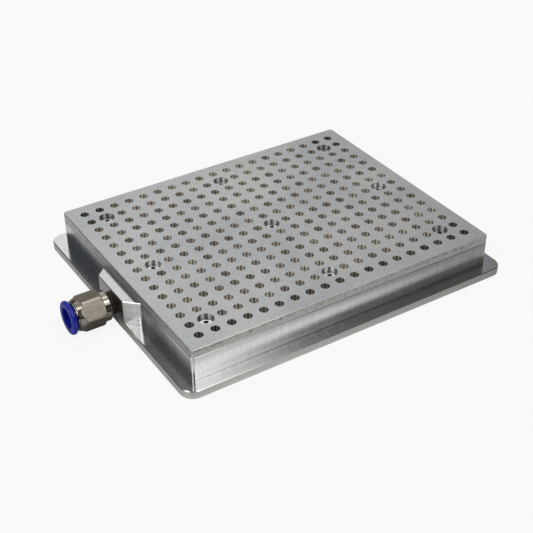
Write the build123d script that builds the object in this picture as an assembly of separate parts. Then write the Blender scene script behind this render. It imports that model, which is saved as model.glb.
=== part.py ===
"""Perforated vacuum table: a milled aluminium base with a sealed chamber, a drilled top plate
held by countersunk screws, and a push-in air fitting in a boss on the left side.

Millimetres, +Z up. X runs along the long side, with the air fitting at -X.
The origin is on the underside, at the middle of the base.
"""
import os
from math import radians, sqrt, tan

from build123d import *

# Hole pattern of the top plate: it sets the length and width of the whole table
hole_pitch = 10.0
hole_columns = 19
hole_rows = 15
hole_diameter = 5.0
edge_margin = 10.0          # from the outermost hole centres to the table's edge

# Top plate
plate_thickness = 5.0
plate_corner = 2.0
plate_edge_break = 0.35

# Base: a body under the plate, on a wider clamping flange
base_height = 20.0
base_corner = 2.0
base_edge_break = 0.2
body_edge_break = 0.35      # along the top of the body and the boss
flange_height = 5.0
flange_ledge = 8.0          # how far the flange stands out on every side
flange_corner = 8.0
flange_edge_break = 0.5

# Vacuum chamber milled into the base, with a pillar under every screw
chamber_floor = 5.0
chamber_margin = 0.5        # from the outermost holes to the chamber's wall
chamber_corner = 4.0
chamber_floor_round = 1.0
pillar_diameter = 10.0
pillar_foot_round = 1.0

# Cord seal in a groove round the rim, pressed flat by the plate
cord_width = 1.9
cord_height = 1.5
cord_side_gap = 0.25
cord_round = 0.5
groove_corner = 5.0         # at the middle of the groove

# Countersunk socket screws, sunk below the plate's face
screw_columns_apart = 8     # screws stand this many hole pitches apart along X
screw_rows_apart = 6        # and this many along Y
screw_diameter = 4.0
screw_length = 10.0
head_diameter = 8.2
head_land = 0.3
head_sink = 2.2             # from the plate's face down to the top of the head
recess_diameter = 9.0
socket_across_flats = 2.5
socket_depth = 1.5
thread_gap = 0.05           # radial play between every thread and its hole
head_gap = 0.05
hole_play = 0.25            # radial play of the screw's plain hole in the plate
tapped_extra = 3.7          # tapped hole past the screw's tip

# Boss and port on the left side
boss_face_width = 30.0
boss_root_width = 45.0
boss_outer_round = 1.5
boss_inner_round = 3.5
port_offset = -1.0          # the boss and its port sit this far from the middle, along Y
port_height = 10.0
port_depth = 11.0
port_mouth_break = 0.5
passage_diameter = 9.0

# Push-in fitting for a tube of this size, measured outwards from the boss's face
tube_diameter = 12.0
thread_diameter = 13.157    # tapered pipe thread, at the boss's face
thread_taper = 1.0 / 16.0
thread_length = 8.6         # screwed into the boss
thread_showing = 3.4        # left in the open between the boss and the rear collar
fitting_bore = 8.2
rear_collar_length = 3.5
hex_length = 12.2
hex_turn = 36.5             # degrees from horizontal up to the facet that faces forward
nose_length = 3.5
nose_shoulder_wall = 1.85   # wall at the wide end of the nose's cone
nose_lip_wall = 0.45        # and at its mouth
hex_wall = 1.25
hex_corner_cut = 0.37       # turned off every corner of the hexagon
collar_wall = 0.75
socket_depth_behind_seal = 7.0
small_break = 0.3

# Inside the fitting, from the tube outwards
socket_clearance = 0.05
ring_clearance = 0.1
stem_wall = 1.05
slide_clearance = 0.05
guide_wall = 1.0
seat_clearance = 0.05
seal_clearance = 0.15       # seal and claws are drawn as a tube holds them

# Inside the fitting, from the back of the seal outwards
seal_length = 3.5
support_length = 2.4
claw_thickness = 0.3
claw_slope = 35.0           # degrees, leaning inwards
claw_count = 12
claw_slot = 0.9
claw_rim = 0.65
guide_proud = 0.8           # collet guide stands out of the mouth
guide_land = 3.0
guide_relief = 0.5
face_gap = 0.05

# Release ring
ring_diameter = 19.8
ring_thickness = 2.8
ring_rim_round = 1.2
ring_mouth_round = 0.4
ring_press_gap = 1.0        # behind its flange at rest, more than its travel
ring_travel = 0.9
ring_nose_gap = 0.35        # left between the nose and the claws when fully pressed
snap_bead_height = 0.4
snap_bead_length = 0.9

# Worked out from the values above
pattern_length = (hole_columns - 1) * hole_pitch
pattern_width = (hole_rows - 1) * hole_pitch
table_length = pattern_length + 2 * edge_margin
table_width = pattern_width + 2 * edge_margin
flange_length = table_length + 2 * flange_ledge
flange_width = table_width + 2 * flange_ledge
chamber_length = pattern_length + hole_diameter + 2 * chamber_margin
chamber_width = pattern_width + hole_diameter + 2 * chamber_margin
plate_top = base_height + plate_thickness
rim_width = (table_length - chamber_length) / 2
seal_line_length = table_length - rim_width
seal_line_width = table_width - rim_width
boss_face_x = -flange_length / 2
screw_tip_z = plate_top - head_sink - screw_length
same = 0.01                 # places or radii that differ by less than this are one

tube_r = tube_diameter / 2
socket_r = tube_r + socket_clearance
ring_bore_r = tube_r + ring_clearance
stem_r = ring_bore_r + stem_wall
guide_bore_r = stem_r + slide_clearance
guide_r = guide_bore_r + guide_wall
body_bore_r = guide_r + seat_clearance
lip_r = tube_r + seal_clearance
hex_flat_r = body_bore_r + hex_wall
hex_corner_r = 2 * hex_flat_r / sqrt(3) - hex_corner_cut
collar_r = body_bore_r + collar_wall
nose_shoulder_r = body_bore_r + nose_shoulder_wall
nose_lip_r = body_bore_r + nose_lip_wall

# Stations along the fitting's axis, counted outwards from the boss's face
collar_start = thread_showing
hex_start = collar_start + rear_collar_length
nose_start = hex_start + hex_length
mouth = nose_start + nose_length
guide_front = mouth + guide_proud
flange_back = guide_front + ring_press_gap
ring_front = flange_back + ring_thickness
tube_stop = collar_start + small_break * 2
seal_back = tube_stop + socket_depth_behind_seal
seal_front = seal_back + seal_length
claw_back = seal_front + support_length
claw_front = claw_back + claw_thickness
guide_back = claw_front + face_gap
land_back = guide_front - guide_land
claw_lean = tan(radians(claw_slope))


def screw_columns():
    """Where the screws stand, as whole hole pitches from the middle."""
    return [(i * screw_columns_apart, j * screw_rows_apart) for i in (-1, 0, 1) for j in (-1, 0, 1)]


def screw_places():
    return [(i * hole_pitch, j * hole_pitch) for i, j in screw_columns()]


def hole_places():
    """The grid of vacuum holes, without the places that the screws take."""
    taken = set(screw_columns())
    middle_column = (hole_columns - 1) // 2
    middle_row = (hole_rows - 1) // 2
    places = []
    for column in range(hole_columns):
        for row in range(hole_rows):
            if (column - middle_column, row - middle_row) not in taken:
                x = column * hole_pitch - pattern_length / 2
                y = row * hole_pitch - pattern_width / 2
                places.append((x, y))
    return places


def slab(length, width, corner, bottom, top):
    """A flat block with round upright corners."""
    return extrude(Plane.XY.offset(bottom) * RectangleRounded(length, width, corner), amount=top - bottom)


def post(x, y, radius, bottom, top):
    return Pos(x, y, bottom) * Cylinder(radius, top - bottom, align=(Align.CENTER, Align.CENTER, Align.MIN))


def edges_at(solid, height):
    """The edges that lie flat at one height."""
    return solid.edges().filter_by_position(Axis.Z, height, height)


def turned(profile):
    """Turns a profile of (station, radius) points round the fitting's axis."""
    points = [(-station, radius) for station, radius in profile]
    face = make_face(Polyline(*points, close=True))
    solid = revolve(face, axis=Axis.X)
    return solid


def at_port(solid):
    """Moves a turned piece from the X axis to the port, with stations counted from the boss's face."""
    return Pos(boss_face_x, port_offset, port_height) * solid


def boss_block():
    """The boss: a straight-sided wedge from the wall to the flange's edge, with its top edges broken."""
    root_x = -table_length / 2
    inside_x = root_x + rim_width / 2
    outline = make_face(Polyline(
        (inside_x, port_offset - boss_root_width / 2),
        (root_x, port_offset - boss_root_width / 2),
        (boss_face_x, port_offset - boss_face_width / 2),
        (boss_face_x, port_offset + boss_face_width / 2),
        (root_x, port_offset + boss_root_width / 2),
        (inside_x, port_offset + boss_root_width / 2),
        close=True,
    ))
    block = extrude(outline, amount=base_height)
    front_corners = block.edges().filter_by(Axis.Z).group_by(Axis.X)[0]
    return fillet(front_corners, boss_outer_round)


def outer_block():
    """Flange, body and boss as one block, before the chamber is milled."""
    flange = slab(flange_length, flange_width, flange_corner, 0, flange_height)
    flange = chamfer(edges_at(flange, flange_height), flange_edge_break)
    flange = chamfer(edges_at(flange, 0), base_edge_break)
    body = slab(table_length, table_width, base_corner, 0, base_height)
    block = body + boss_block()
    root_x = -table_length / 2
    roots = [e for e in block.edges().filter_by(Axis.Z) if abs(e.center().X - root_x) < same]
    block = fillet(roots, boss_inner_round)
    block = chamfer(outer_top_edges(block), body_edge_break)
    return flange + block


def outer_top_edges(block):
    """The whole outline at the top of the body and boss."""
    top = block.faces().sort_by(Axis.Z)[-1]
    return top.outer_wire().edges()


def chamber():
    """The pocket under the perforations, with its floor edge rounded and the pillars left standing."""
    pocket = slab(chamber_length, chamber_width, chamber_corner, chamber_floor, base_height)
    pocket = fillet(edges_at(pocket, chamber_floor), chamber_floor_round)
    for x, y in screw_places():
        pillar = post(x, y, pillar_diameter / 2, chamber_floor, base_height)
        foot = foot_round(x, y)
        pocket = pocket - pillar - foot
    return pocket


def foot_round(x, y):
    """The radius that the milling cutter leaves round a pillar's foot."""
    r = pillar_diameter / 2
    f = pillar_foot_round
    section = Plane.XZ * make_face([
        Line((r - f / 4, 0), (r + f, 0)),
        CenterArc((r + f, f), f, 180, 90),
        Line((r, f), (r - f / 4, f)),
        Line((r - f / 4, f), (r - f / 4, 0)),
    ])
    return Pos(x, y, chamber_floor) * revolve(section, axis=Axis.Z)


def port():
    """Tapered thread bore, its broken mouth and the passage into the chamber."""
    r_face = thread_diameter / 2 + thread_gap
    slope = thread_taper / 2
    r_bottom = r_face - slope * port_depth
    bore = turned([
        (0, 0), (1, 0), (1, r_face + port_mouth_break + 1), (0, r_face + port_mouth_break),
        (-port_mouth_break, r_face), (-port_depth, r_bottom), (-port_depth, 0),
    ])
    passage_end = flange_ledge + rim_width + chamber_corner
    passage = turned([
        (-port_depth / 2, 0), (-port_depth / 2, passage_diameter / 2),
        (-passage_end, passage_diameter / 2), (-passage_end, 0),
    ])
    return at_port(bore + passage)


def seal_ring(width, bottom, top):
    """A closed strip that follows the middle of the rim."""
    outer = RectangleRounded(seal_line_length + width, seal_line_width + width, groove_corner + width / 2)
    inner = RectangleRounded(seal_line_length - width, seal_line_width - width, groove_corner - width / 2)
    return extrude(Plane.XY.offset(bottom) * (outer - inner), amount=top - bottom)


def make_base_block():
    groove_width = cord_width + 2 * cord_side_gap
    block = outer_block() - chamber() - port()
    block = block - seal_ring(groove_width, base_height - cord_height, base_height)
    for x, y in screw_places():
        hole_bottom = screw_tip_z - tapped_extra
        block = block - post(x, y, screw_diameter / 2 + thread_gap, hole_bottom, base_height)
    return block


def screw_seat(x, y):
    """Round recess, countersink and plain hole for one screw."""
    seat_top = plate_top - head_sink - head_land
    seat_r = head_diameter / 2 + head_gap
    hole_r = screw_diameter / 2 + hole_play
    recess = post(x, y, recess_diameter / 2, seat_top, plate_top)
    cone = Pos(x, y, seat_top) * Cone(
        hole_r, seat_r, seat_r - hole_r, align=(Align.CENTER, Align.CENTER, Align.MAX))
    hole = post(x, y, hole_r, base_height, seat_top)
    return recess + cone + hole


def make_perforated_plate():
    outline = RectangleRounded(table_length, table_width, plate_corner)
    blank = extrude(Plane.XY.offset(base_height) * outline, amount=plate_thickness)
    blank = chamfer(edges_at(blank, plate_top), plate_edge_break)
    blank = chamfer(edges_at(blank, base_height), base_edge_break)
    drills = Sketch() + [Pos(x, y) * Circle(hole_diameter / 2) for x, y in hole_places()]
    plate = blank - extrude(Plane.XY.offset(base_height) * drills, amount=plate_thickness)
    seats = [screw_seat(x, y) for x, y in screw_places()]
    return plate - seats


def make_plate_seal():
    ring = seal_ring(cord_width, base_height - cord_height, base_height)
    long_edges = edges_at(ring, base_height) + edges_at(ring, base_height - cord_height)
    return fillet(long_edges, cord_round)


def one_screw():
    """A countersunk socket screw with the top of its head at height 0."""
    head_r = head_diameter / 2
    shank_r = screw_diameter / 2
    tip_break = shank_r / 4
    cone_end = head_land + head_r - shank_r
    profile = Plane.XZ * make_face(Polyline(
        (0, 0), (head_r, 0), (head_r, -head_land), (shank_r, -cone_end),
        (shank_r, -screw_length + tip_break), (shank_r - tip_break, -screw_length), (0, -screw_length),
        close=True,
    ))
    body = revolve(profile, axis=Axis.Z)
    hexagon = RegularPolygon(socket_across_flats / 2, 6, major_radius=False)
    return body - extrude(hexagon, amount=-socket_depth)


def make_plate_screws():
    screw = one_screw()
    return Compound(children=[
        Pos(x, y, plate_top - head_sink) * screw for x, y in screw_places()
    ])


def hexagon_bar():
    """The fitting's hexagon, with its corners turned off and both ends chamfered."""
    outline = RegularPolygon(hex_flat_r, 6, major_radius=False, rotation=30)
    bar = extrude(Plane.YZ * outline, amount=-mouth)
    bar = Rot(180 - hex_turn, 0, 0) * bar
    chamfer_depth = (hex_corner_r - collar_r) * tan(radians(30))
    envelope = turned([
        (hex_start, 0), (hex_start, collar_r + small_break), (hex_start + chamfer_depth, hex_corner_r),
        (nose_start, hex_corner_r), (nose_start + small_break, nose_shoulder_r),
        (mouth - small_break, nose_lip_r + small_break), (mouth, nose_lip_r), (mouth, 0),
    ])
    return bar & envelope


def make_fitting_body():
    slope = thread_taper / 2
    r_face = thread_diameter / 2
    thread_end = -thread_length
    core = turned([
        (thread_end, 0), (thread_end, r_face - slope * thread_length - small_break),
        (thread_end + small_break, r_face - slope * (thread_length - small_break)),
        (collar_start, r_face + slope * thread_showing),
        (collar_start, collar_r - small_break), (collar_start + small_break, collar_r),
        (hex_start + small_break, collar_r), (hex_start + small_break, 0),
    ])
    bore = turned([
        (thread_end - 1, 0), (thread_end - 1, fitting_bore / 2), (tube_stop, fitting_bore / 2),
        (tube_stop, socket_r), (seal_back, socket_r), (seal_back, body_bore_r), (mouth + 1, body_bore_r),
        (mouth + 1, 0),
    ])
    return at_port(core + hexagon_bar() - bore)


def make_tube_seal():
    """Rubber ring with a lip that a tube pushes aside."""
    outer_r = body_bore_r - seat_clearance
    waist = (outer_r - lip_r) / 3
    return at_port(turned([
        (seal_back + face_gap, outer_r), (seal_back + face_gap, lip_r + waist),
        (seal_back + seal_length / 3, lip_r), (seal_back + seal_length / 2, lip_r),
        (seal_front - seal_length / 4, lip_r + waist), (seal_front, lip_r + waist), (seal_front, outer_r),
    ]))


def make_seal_support():
    """Stiff ring between the seal and the claws, dished to let them lean back."""
    outer_r = body_bore_r - seat_clearance
    dish_r = outer_r - claw_rim
    dish_depth = (dish_r - lip_r) * claw_lean
    return at_port(turned([
        (seal_front + face_gap, outer_r), (seal_front + face_gap, lip_r),
        (claw_back - face_gap - dish_depth, lip_r), (claw_back - face_gap, dish_r),
        (claw_back - face_gap, outer_r),
    ]))


def make_grab_ring():
    """Thin spring-steel ring whose claws lean inwards and bite the tube."""
    outer_r = body_bore_r - seat_clearance
    bend_r = outer_r - claw_rim
    lean = (bend_r - lip_r) * claw_lean
    ring = turned([
        (claw_back, outer_r), (claw_back, bend_r), (claw_back - lean, lip_r),
        (claw_front - lean, lip_r), (claw_front, bend_r), (claw_front, outer_r),
    ])
    slot_height = bend_r - lip_r + claw_slot
    slot_length = 4 * claw_thickness + 2 * lean
    slot_middle = bend_r - slot_height / 2
    slot = Pos(-claw_back, 0, slot_middle) * Box(slot_length, claw_slot, slot_height)
    for i in range(claw_count):
        ring = ring - Rot(360 * i / claw_count, 0, 0) * slot
    return at_port(ring)


def make_collet_guide():
    """Pressed-in guide that holds the claws down and lets the release ring slide."""
    relief_r = guide_bore_r + guide_relief
    return at_port(turned([
        (guide_back, guide_r), (guide_back, relief_r), (land_back, relief_r), (land_back, guide_bore_r),
        (guide_front, guide_bore_r), (guide_front, guide_r - small_break),
        (guide_front - small_break, guide_r),
    ]))


def make_release_ring():
    """Round-edged flange, stem with a snap bead, and a nose that opens the claws when pressed."""
    rim_r = ring_diameter / 2
    bead_r = stem_r + snap_bead_height
    bead_front = land_back - face_gap
    bead_back = bead_front - snap_bead_length
    nose_r = (ring_bore_r + stem_r) / 2
    claw_at_nose = claw_front - (body_bore_r - seat_clearance - claw_rim - nose_r) * claw_lean
    nose_tip = claw_at_nose + ring_travel + ring_nose_gap
    section = make_face(Polyline(
        (-nose_tip, ring_bore_r), (-nose_tip, nose_r), (-bead_back, bead_r), (-bead_front, bead_r),
        (-bead_front, stem_r), (-flange_back, stem_r), (-flange_back, rim_r), (-ring_front, rim_r),
        (-ring_front, ring_bore_r),
        close=True,
    ))
    ring = revolve(section, axis=Axis.X)
    rims = [e for e in ring.edges().filter_by(GeomType.CIRCLE) if abs(e.radius - rim_r) < same]
    ring = fillet(rims, ring_rim_round)
    front = ring.edges().filter_by(GeomType.CIRCLE).group_by(Axis.X)[0]
    mouth_edge = [e for e in front if abs(e.radius - ring_bore_r) < same]
    return at_port(fillet(mouth_edge, ring_mouth_round))


PIECES = {
    "base_block": make_base_block,
    "perforated_plate": make_perforated_plate,
    "plate_seal": make_plate_seal,
    "plate_screws": make_plate_screws,
    "fitting_body": make_fitting_body,
    "tube_seal": make_tube_seal,
    "seal_support": make_seal_support,
    "grab_ring": make_grab_ring,
    "collet_guide": make_collet_guide,
    "release_ring": make_release_ring,
}

os.makedirs("parts", exist_ok=True)
for name, make in PIECES.items():
    export_step(make(), f"parts/{name}.step")
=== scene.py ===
"""Dresses the perforated vacuum table: the finish of every surface, the drilled plate, its screws,
the air fitting with its thread and flats, and the studio round them. Metres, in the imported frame.
"""
from math import cos, pi, radians, sin, tan

import bmesh
import bpy
from mathutils import Matrix, Vector


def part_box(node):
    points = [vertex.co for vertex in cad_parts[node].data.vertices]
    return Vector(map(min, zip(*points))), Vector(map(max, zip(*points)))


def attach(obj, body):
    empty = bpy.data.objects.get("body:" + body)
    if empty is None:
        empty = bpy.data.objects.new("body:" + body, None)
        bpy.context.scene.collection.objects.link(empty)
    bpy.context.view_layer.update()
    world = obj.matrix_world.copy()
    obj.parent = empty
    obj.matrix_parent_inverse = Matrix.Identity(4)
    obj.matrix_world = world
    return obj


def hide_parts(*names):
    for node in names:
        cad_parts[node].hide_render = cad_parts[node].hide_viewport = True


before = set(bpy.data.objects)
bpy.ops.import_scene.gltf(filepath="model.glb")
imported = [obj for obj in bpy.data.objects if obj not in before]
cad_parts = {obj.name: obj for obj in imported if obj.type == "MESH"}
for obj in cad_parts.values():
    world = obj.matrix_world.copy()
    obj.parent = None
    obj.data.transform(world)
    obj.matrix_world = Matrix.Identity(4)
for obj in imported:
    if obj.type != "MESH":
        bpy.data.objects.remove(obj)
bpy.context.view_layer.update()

MM = 0.001

# The camera, fitted to the grid of holes in the photograph, in millimetres
CAMERA_PLACE = (-299.494, -467.530, 377.781)
CAMERA_AIM = (-17.361, -21.285, 12.5)
CAMERA_ROLL = -0.354  # degrees
CAMERA_LENS = 74.13  # millimetres, on a 36 mm sensor

# Studio. The camera sees an even white floor; metal sees it lit in patches.
FLOOR_SIZE = 12.0  # metres
FLOOR_WHITE = 0.88  # share of the floor's white that no shadow takes
FLOOR_DIM = 0.3  # how bright metal sees the floor outside its lit patches
# Lit patches of the floor: name, centre and reach in X and Y, in metres, and how far each outshines
# the rest. Below zero it is a shaded patch.
FLOOR_PATCHES = [
    ("in front of the left end", -0.085, -0.088, 0.19, 0.019, 1.2),
    ("beside the boss", -0.125, -0.045, 0.036, 0.034, 0.6),
    ("beside the back left corner", -0.112, 0.085, 0.03, 0.05, 0.42),
    ("under the fitting", -0.118, -0.004, 0.036, 0.03, -0.28),
    ("off the front left corner", -0.122, -0.093, 0.026, 0.022, -0.7),
]
ROOM_LEVEL = 0.42  # brightness of the sky between its patches

# Sky patches: name, azimuth (0 behind the table, 90 to its right), elevation, half width, half
# height and soft edge in degrees, colour, strength. Later ones lie over earlier ones.
SKY_PATCHES = [
    ("overhead softbox", 60, 80, 30, 18, 6, "#ffffff", 0.7),
    ("white sweep behind", 12, 44, 28, 18, 3, "#fafafa", 0.92),
    ("grey wall at the right", 76, 30, 30, 30, 8, "#7b7e82", 0.9),
    ("dim room at the front right", 122, 14, 30, 32, 6, "#565859", 0.9),
    ("dim room at the front", 180, 8, 32, 22, 6, "#303030", 0.9),
    ("dim room at the front left", 212, 45, 24, 36, 6, "#767472", 0.9),
    ("dim corner at the back left", -38, 22, 27, 22, 8, "#50545a", 0.9),
    ("front softbox", 160, 57, 8, 9, 2, "#fffaf2", 5.0),
    ("lower edge of the front softbox", 168, 42, 15, 8, 3, "#ffffff", 1.55),
    ("left softbox", 260, 51, 13, 15, 4, "#ffffff", 2.5),
    ("small softbox above the right end", 85, 74, 8, 4, 1.5, "#ffffff", 1.8),
    ("dark gap at the left of the sweep", -10, 38, 6, 10, 3, "#26282a", 0.9),
    ("dim line under the sweep", 20, 16, 26, 9, 4, "#5a5a58", 0.9),
]

# Sizes of the pieces that are modelled here, in millimetres
HOLE_PITCH = 10.0
HOLE_COLUMNS, HOLE_ROWS = 19, 15
SCREW_COLUMNS_APART, SCREW_ROWS_APART = 8, 6
HOLE_RADIUS = 2.5
HOLE_BREAK = 0.12
CORNER_STEPS = 8
HOLE_SIDES, RECESS_SIDES, SCREW_SIDES = 24, 48, 36
# Upright stripes of painted shade round each hole's wall, the first at a given turn
PAINTED_STRIPES = 6
PAINTED_STRIPE_TURN = radians(12)  # where the first stripe of painted shade lies
PLATE_CORNER = 2.0
PLATE_EDGE_BREAK = 0.3
PLATE_FOOT_BREAK = 0.08
RECESS_RADIUS = 4.5
RECESS_BREAK = 0.2
SEAT_RADIUS = 4.15
PLAIN_HOLE_RADIUS = 2.25
HEAD_SINK = 2.2
HEAD_RADIUS = 4.1
HEAD_LAND = 0.3
HEAD_BREAK = 0.15
SHANK_RADIUS = 2.0
SCREW_LENGTH = 10.0
SCREW_PITCH, SCREW_THREAD_DEPTH = 0.7, 0.4
THREAD_FLAT = 0.12  # share of the pitch that is flat at the crest, and at the root
SOCKET_FLAT = 1.25  # from the axis to each flat
SOCKET_DEPTH = 1.5
SOCKET_BREAK = 0.12
POINT_SLOPE = 0.35  # of the drill point below the socket
PARTING_SHARE = 0.6  # of the head's radius, parts its rim from the socket's
TIP_BREAK = 0.5
RINGS_PER_PITCH = 6  # of the screw's thread
SCREW_TURNS, TURN_SEED = 60.0, 3  # every screw stopped at its own angle, up to this many degrees
BODY_END = 100.0  # from the middle of the base to each end of its body
FLANGE_TOP = 5.0
WALL_TOP = 20.0
SHARP_ANGLE = 20  # degrees, past which an edge is shaded sharp
MERGE_NEARER = 0.01
# Upward part of a face's normal: level from the first to the second, and in a bore or on a side below
LEVEL_FROM, LEVEL_FULL, BORE_LIMIT, SIDE_LIMIT = 0.6, 0.9, 0.8, 0.5

# Painted shade on the base's walls: name, how dark, and along each axis, in
# millimetres, where the shade starts, where it is full, and the share of it left before its start
WALL_PAINTED_SHADES = [
    ("inner corner at the wall's foot", 0.65, [
        ("Z", FLANGE_TOP + 0.6, FLANGE_TOP + 0.25, 0.0), ("X", -80, -20, 0.4),
    ]),
    ("low on the front, towards the right", 0.4, [
        ("Z", FLANGE_TOP + 4, FLANGE_TOP, 0.0), ("X", -10, 60, 0.0),
    ]),
    ("low on the left end, towards the front", 0.6, [
        ("Z", FLANGE_TOP + 8.5, FLANGE_TOP + 3, 0.0), ("Y", 30, -20, 0.2),
        # On the end itself, and not on the boss outside it
        ("X", 1.5 - BODY_END, 0.1 - BODY_END, 0.0), ("X", -0.71 - BODY_END, -0.7 - BODY_END, 0.0),
    ]),
]

# The fitting, in millimetres outwards from the boss's face
FITTING_Y, FITTING_Z, FITTING_FACE_X = -1.0, 10.0, -108.0
THREAD_END, THREAD_SHOWS = -8.6, 3.4
THREAD_RADIUS, THREAD_TAPER = 6.5785, 1 / 32
THREAD_PITCH, THREAD_DEPTH = 1.337, 0.7
THREAD_RINGS_PER_PITCH = 10
THREAD_LEAD = 1.0  # how far the inner end is turned down below the thread
FLANK_SLOPE, FLANK_START = 1.3, 0.15  # of the thread's groove, over half a pitch
COLLAR_RADIUS, COLLAR_END = 9.0, 6.9
HEX_FLAT, HEX_CORNER, HEX_END = 9.5, 10.6, 19.1
HEX_TURN = 36.5  # degrees, from level up to the facet that faces forward
HEX_BACK_SLOPE = 35  # degrees, of the chamfer behind the hexagon
NOSE_SHOULDER, NOSE_LIP, MOUTH = 10.1, 8.7, 22.6
FITTING_BORE, SOCKET_BORE, SEAL_BORE = 4.1, 6.05, 8.25
TUBE_STOP, SEAL_SEAT = 4.0, 11.0
SMALL_BREAK = 0.3
ROUNDING = 0.3 * SMALL_BREAK  # how far the middle of a rounded edge lies inside its corner
RING_GAP = 0.002  # keeps two rings apart where the nose leaves the hexagon
# Angles round one facet, from its middle, closest where the corner is turned off
FACET_ANGLES = [-30, -28.2, -26.33, -22, -16.5, -11, -5.5, 0, 5.5, 11, 16.5, 22, 26.33, 28.2]

MATH, VECTOR, RANGE = "ShaderNodeMath", "ShaderNodeVectorMath", "ShaderNodeMapRange"
MIX, NOISE, PLACE = "ShaderNodeMix", "ShaderNodeTexNoise", "ShaderNodeTexCoord"
SPLIT, JOIN = "ShaderNodeSeparateXYZ", "ShaderNodeCombineXYZ"
BOOLEAN, CIRCLE = "FunctionNodeBooleanMath", "GeometryNodeCurvePrimitiveCircle"
UNITE, MOVE = "GeometryNodeJoinGeometry", "GeometryNodeTransform"
ON_POINTS, REALIZE = "GeometryNodeInstanceOnPoints", "GeometryNodeRealizeInstances"
FILL, MERGE = "GeometryNodeFillCurve", "GeometryNodeMergeByDistance"
GRID, SHIFT = "GeometryNodeMeshGrid", "GeometryNodeSetPosition"


def linear(code):
    """sRGB hex colour as linear red, green, blue and alpha."""
    parts = [int(code[i:i + 2], 16) / 255 for i in (1, 3, 5)]
    return [c / 12.92 if c <= 0.04045 else ((c + 0.055) / 1.055) ** 2.4 for c in parts] + [1.0]


def add(tree, kind, inputs=None, **settings):
    """Adds a node with its settings. Inputs, by name or number, are values, hex colours, outputs or
    whole nodes, or a row of nodes where a socket joins several."""
    made = tree.nodes.new(kind)
    for name, value in settings.items():
        setattr(made, name, value)
    for key, value in (inputs or {}).items():
        if isinstance(key, int):
            socket = made.inputs[key]
        else:
            socket = next(s for s in made.inputs if s.name == key and s.enabled)
        for part in value if socket.is_multi_input else [value]:
            if isinstance(part, bpy.types.Node):
                part = next(s for s in part.outputs if s.enabled)
            if isinstance(part, bpy.types.NodeSocket):
                tree.links.new(part, socket)
            else:
                socket.default_value = linear(part) if isinstance(part, str) else part
    return made


def material(name):
    """A new material with an empty node tree."""
    made = bpy.data.materials.new(name)
    made.use_nodes = True
    made.node_tree.nodes.clear()
    return made, made.node_tree


def per(millimetres):
    """Texture scale at which one feature is this wide."""
    return 1 / (millimetres * MM)


def placed(name, data):
    """A new object in the scene."""
    made = bpy.data.objects.new(name, data)
    bpy.context.scene.collection.objects.link(made)
    return made


# Camera, sky and floor

def make_camera():
    data = bpy.data.cameras.new("camera")
    data.lens = CAMERA_LENS
    data.sensor_width = 36.0
    data.clip_end = 50.0
    camera = placed("camera", data)
    place = Vector(CAMERA_PLACE) * MM
    aim = Vector(CAMERA_AIM) * MM
    turn = (aim - place).to_track_quat("-Z", "Y").to_matrix()
    roll = Matrix.Rotation(radians(CAMERA_ROLL), 3, "Z")
    camera.matrix_world = Matrix.Translation(place) @ (turn @ roll).to_4x4()
    bpy.context.scene.camera = camera


def light_patch(tree, seen, azimuth, elevation, half_width, half_height, edge):
    """A soft-edged rectangle in the sky, 1 inside and 0 outside; sizes in degrees."""
    a, e = radians(azimuth), radians(elevation)
    centre = Vector((sin(a) * cos(e), cos(a) * cos(e), sin(e)))
    to_patch = centre.to_track_quat("Z", "Y").to_matrix().inverted().to_euler()
    turned = add(tree, "ShaderNodeVectorRotate", {
        "Vector": seen, "Rotation": tuple(to_patch),
    }, rotation_type="EULER_XYZ")
    xyz = add(tree, SPLIT, {0: turned})
    masks = []
    for side, half in (("X", half_width), ("Y", half_height)):
        angle = add(tree, MATH, {0: xyz.outputs[side], 1: xyz.outputs["Z"]}, operation="ARCTAN2")
        size = add(tree, MATH, {0: angle}, operation="ABSOLUTE")
        masks.append(add(tree, RANGE, {
            "Value": size, "From Min": radians(half + edge), "From Max": radians(half - edge),
        }, interpolation_type="SMOOTHSTEP"))
    return add(tree, MATH, {0: masks[0], 1: masks[1]}, operation="MULTIPLY")


def make_world():
    """Studio seen by metal from every side; the camera itself sees plain white."""
    world = bpy.data.worlds.new("studio")
    bpy.context.scene.world = world
    world.use_nodes = True
    tree = world.node_tree
    tree.nodes.clear()
    seen = add(tree, PLACE).outputs["Generated"]
    light = [ROOM_LEVEL] * 3 + [1]
    for name, azimuth, elevation, half_width, half_height, edge, tint, strength in SKY_PATCHES:
        mask = light_patch(tree, seen, azimuth, elevation, half_width, half_height, edge)
        shade = [c * strength for c in linear(tint)[:3]] + [1]
        light = add(tree, MIX, {"Factor": mask, "A": light, "B": shade}, data_type="RGBA", label=name)
    rays = add(tree, "ShaderNodeLightPath")
    final = add(tree, MIX, {
        "Factor": rays.outputs["Is Camera Ray"], "A": light, "B": (1, 1, 1, 1),
    }, data_type="RGBA")
    background = add(tree, "ShaderNodeBackground", {"Color": final})
    add(tree, "ShaderNodeOutputWorld", {"Surface": background})


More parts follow.
